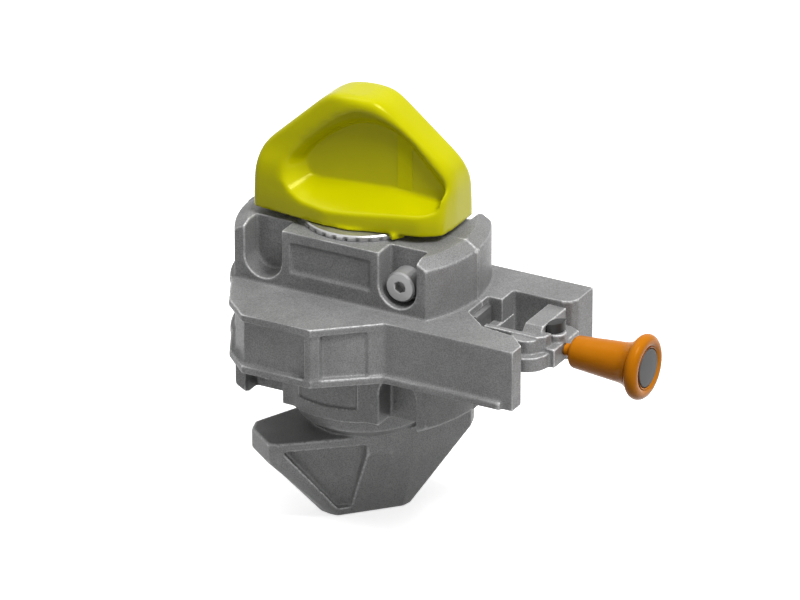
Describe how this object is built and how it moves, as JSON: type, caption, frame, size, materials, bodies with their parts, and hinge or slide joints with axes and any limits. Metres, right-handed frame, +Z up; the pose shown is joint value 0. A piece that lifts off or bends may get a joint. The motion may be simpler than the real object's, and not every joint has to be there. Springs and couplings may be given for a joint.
{
  "type": "container twistlock",
  "caption": "Semi-automatic twistlock that locks two stacked freight containers: cast split housing, sprung spindle with upper and lower cones, pull handle on a wire.",
  "frame": {"origin": "on the spindle's axis, half way between the two seats of the flange", "axes": "+Z up along the spindle towards the upper cone, +X along the arms towards the pull handle, -Y towards the side with the bare panel"},
  "size_m": [0.184, 0.115, 0.1855],
  "materials": {
    "cast_housing": "sand cast, zinc coated, satin",
    "cast_cone": "sand cast, zinc coated, satin",
    "yellow_paint": "satin powder coat",
    "cast_bracket": "fine cast, zinc coated",
    "bright_steel": "machined",
    "dark_steel": "blackened",
    "spring_steel": "oil tempered",
    "bronze": "machined bearing bronze",
    "orange_grip": "moulded, satin",
    "orange_sleeve": "painted",
    "grey_disc": "moulded, matt",
    "wire_rope": "stranded, galvanized"
  },
  "bodies": {
    "housing": {"front_housing": "cast_housing", "rear_housing": "cast_housing", "housing_screws": "bright_steel", "upper_bush": "bronze", "lower_bush": "bronze", "thrust_washer": "bright_steel", "guide_block": "dark_steel", "release_bracket": "cast_bracket", "stop_pin": "dark_steel", "torsion_spring": "spring_steel"},
    "spindle": {"spindle": "cast_cone", "top_cone": "yellow_paint", "cone_pin": "bright_steel", "wire_drum": "bright_steel", "drum_key": "bright_steel", "wire_anchor": "bright_steel", "guided_wire": "wire_rope"},
    "handle": {"pull_wire": "wire_rope", "wire_sleeve": "orange_sleeve", "handle_ferrule": "bright_steel", "pull_handle": "orange_grip", "handle_disc": "grey_disc"}
  },
  "joints": [
    {"name": "spindle_turn", "type": "hinge", "parent": "housing", "child": "spindle", "pos_m": [0, 0, 0], "axis": [0, 0, 1], "range_deg": [-57, 0], "stiffness_Nm_per_rad": 2.5, "springref_deg": 28.65, "deforming": ["torsion_spring", "guided_wire"]},
    {"name": "handle_pull", "type": "slide", "parent": "housing", "child": "handle", "axis": [1, 0, 0], "range_m": [0, 0.024]}
  ],
  "couplings": [
    {"joint": "handle_pull", "follows": "spindle_turn", "m_per_rad": -0.024}
  ]
}
